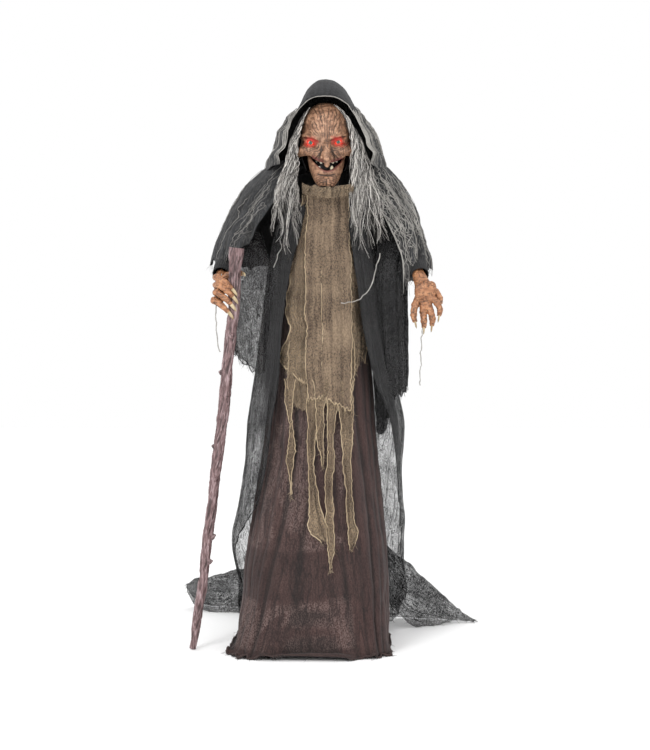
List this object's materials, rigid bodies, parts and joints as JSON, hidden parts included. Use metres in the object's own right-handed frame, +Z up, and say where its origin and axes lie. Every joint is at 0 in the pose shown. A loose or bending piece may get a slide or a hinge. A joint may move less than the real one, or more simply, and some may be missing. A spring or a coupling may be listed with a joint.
{
  "type": "animated witch figure",
  "caption": "Life-size standing witch figure in a hooded robe on a pole stand, with turning head, moving jaw, jointed arms and a walking cane.",
  "frame": {"origin": "centre of the underside of the base hub, on the floor under the pole", "axes": "+Z up along the pole; the figure faces -Y; its right hand and the cane are at -X"},
  "size_m": [1.2093, 0.9152, 2.134],
  "materials": {
    "stand_steel": "satin",
    "zinc_steel": "satin",
    "black_plastic": "matte",
    "white_plastic": "satin",
    "circuit_green": "satin",
    "foot_rubber": "matte",
    "face_skin": "satin",
    "hand_skin": "satin",
    "teeth": "gloss",
    "eyes": "gloss",
    "led_red": "gloss",
    "cane_plastic": "matte",
    "robe_cloth": "matte",
    "gauze_cloth": "matte",
    "cloak_cloth": "matte",
    "hood_cloth": "matte",
    "hair_fibre": "satin"
  },
  "bodies": {
    "stand": {"base_hub": "stand_steel", "base_leg_back_left": "stand_steel", "base_leg_back_right": "stand_steel", "base_leg_front_left": "stand_steel", "base_leg_front_right": "stand_steel", "foot_cap_back_left": "foot_rubber", "foot_cap_back_right": "foot_rubber", "foot_cap_front_left": "foot_rubber", "foot_cap_front_right": "foot_rubber", "lower_pole": "stand_steel", "middle_pole": "stand_steel", "spine_pole": "stand_steel", "shoulder_bar": "stand_steel", "chest_hoop": "zinc_steel", "control_case": "black_plastic", "control_cover": "black_plastic", "circuit_board": "circuit_green", "speaker": "black_plastic", "dc_jack": "zinc_steel", "motion_sensor": "black_plastic", "neck_motor": "black_plastic", "robe": "robe_cloth", "gauze_apron": "gauze_cloth", "cloak": "cloak_cloth", "cloak_tail_left": "cloak_cloth", "cloak_tail_right": "cloak_cloth", "capelet": "hood_cloth"},
    "snap_lower": {"snap_button_lower": "zinc_steel"},
    "snap_upper": {"snap_button_upper": "zinc_steel"},
    "switch_knob": {"mode_switch": "white_plastic"},
    "pinion": {"neck_pinion": "white_plastic"},
    "head": {"neck_gear": "white_plastic", "skull_shell": "black_plastic", "face_mask": "face_skin", "upper_teeth": "teeth", "eye_right": "eyes", "eye_left": "eyes", "eye_led_right": "led_red", "eye_led_left": "led_red", "jaw_motor": "black_plastic", "jaw_pin": "zinc_steel", "hood": "hood_cloth", "hair_right": "hair_fibre", "hair_left": "hair_fibre"},
    "jaw": {"jaw_shell": "face_skin", "lower_teeth": "teeth"},
    "crank": {"jaw_crank": "white_plastic"},
    "arm_right": {"arm_tube_right": "stand_steel", "shoulder_knob_right": "black_plastic", "cuff_right": "cloak_cloth", "hand_right": "hand_skin", "sleeve_right": "cloak_cloth"},
    "cane": {"cane_top": "cane_plastic", "cane_middle": "cane_plastic", "cane_bottom": "cane_plastic"},
    "arm_left": {"arm_tube_left": "stand_steel", "shoulder_knob_left": "black_plastic", "cuff_left": "cloak_cloth", "sleeve_left": "cloak_cloth"},
    "palm_left": {"hand_left": "hand_skin"}
  },
  "joints": [
    {"name": "head_turn", "type": "hinge", "parent": "stand", "child": "head", "pos_m": [0.02, -0.11, 1.76], "axis": [0, 0, 1], "range_deg": [-30, 30], "deforming": ["hood", "hair_right", "hair_left"]},
    {"name": "pinion_turn", "type": "hinge", "parent": "stand", "child": "pinion", "pos_m": [0.02, -0.062, 1.755], "axis": [0, 0, 1], "range_deg": [-90, 90]},
    {"name": "jaw_open", "type": "hinge", "parent": "head", "child": "jaw", "pos_m": [0.02, -0.125, 1.83], "axis": [1, 0, 0], "range_deg": [-5, 8]},
    {"name": "crank_turn", "type": "hinge", "parent": "head", "child": "crank", "pos_m": [0.02, -0.095, 1.812], "axis": [1, 0, 0], "range_deg": [-20, 32]},
    {"name": "arm_right_swing", "type": "hinge", "parent": "stand", "child": "arm_right", "pos_m": [-0.2, -0.02, 1.69], "axis": [-1, 0, 0], "range_deg": [0, 20], "deforming": ["capelet"]},
    {"name": "cane_lift", "type": "slide", "parent": "arm_right", "child": "cane", "axis": [0.0302, -0.0116, 0.9995], "range_m": [0, 0.04]},
    {"name": "arm_left_swing", "type": "hinge", "parent": "stand", "child": "arm_left", "pos_m": [0.232, -0.02, 1.69], "axis": [-1, 0, 0], "range_deg": [-15, 25], "deforming": ["capelet"]},
    {"name": "hand_left_twist", "type": "hinge", "parent": "arm_left", "child": "palm_left", "pos_m": [0.356, -0.14, 1.408], "axis": [0.0632, -0.8216, -0.5666], "range_deg": [-30, 30]},
    {"name": "snap_lower_press", "type": "slide", "parent": "stand", "child": "snap_lower", "axis": [0, -1, 0], "range_m": [0, 0.004], "stiffness_N_per_m": 300},
    {"name": "snap_upper_press", "type": "slide", "parent": "stand", "child": "snap_upper", "axis": [0, -1, 0], "range_m": [0, 0.004], "stiffness_N_per_m": 300},
    {"name": "switch_slide", "type": "slide", "parent": "stand", "child": "switch_knob", "axis": [1, 0, 0], "range_m": [-0.003, 0.003]}
  ],
  "couplings": [
    {"joint": "pinion_turn", "follows": "head_turn", "ratio": -3},
    {"joint": "crank_turn", "follows": "jaw_open", "ratio": 4}
  ]
}
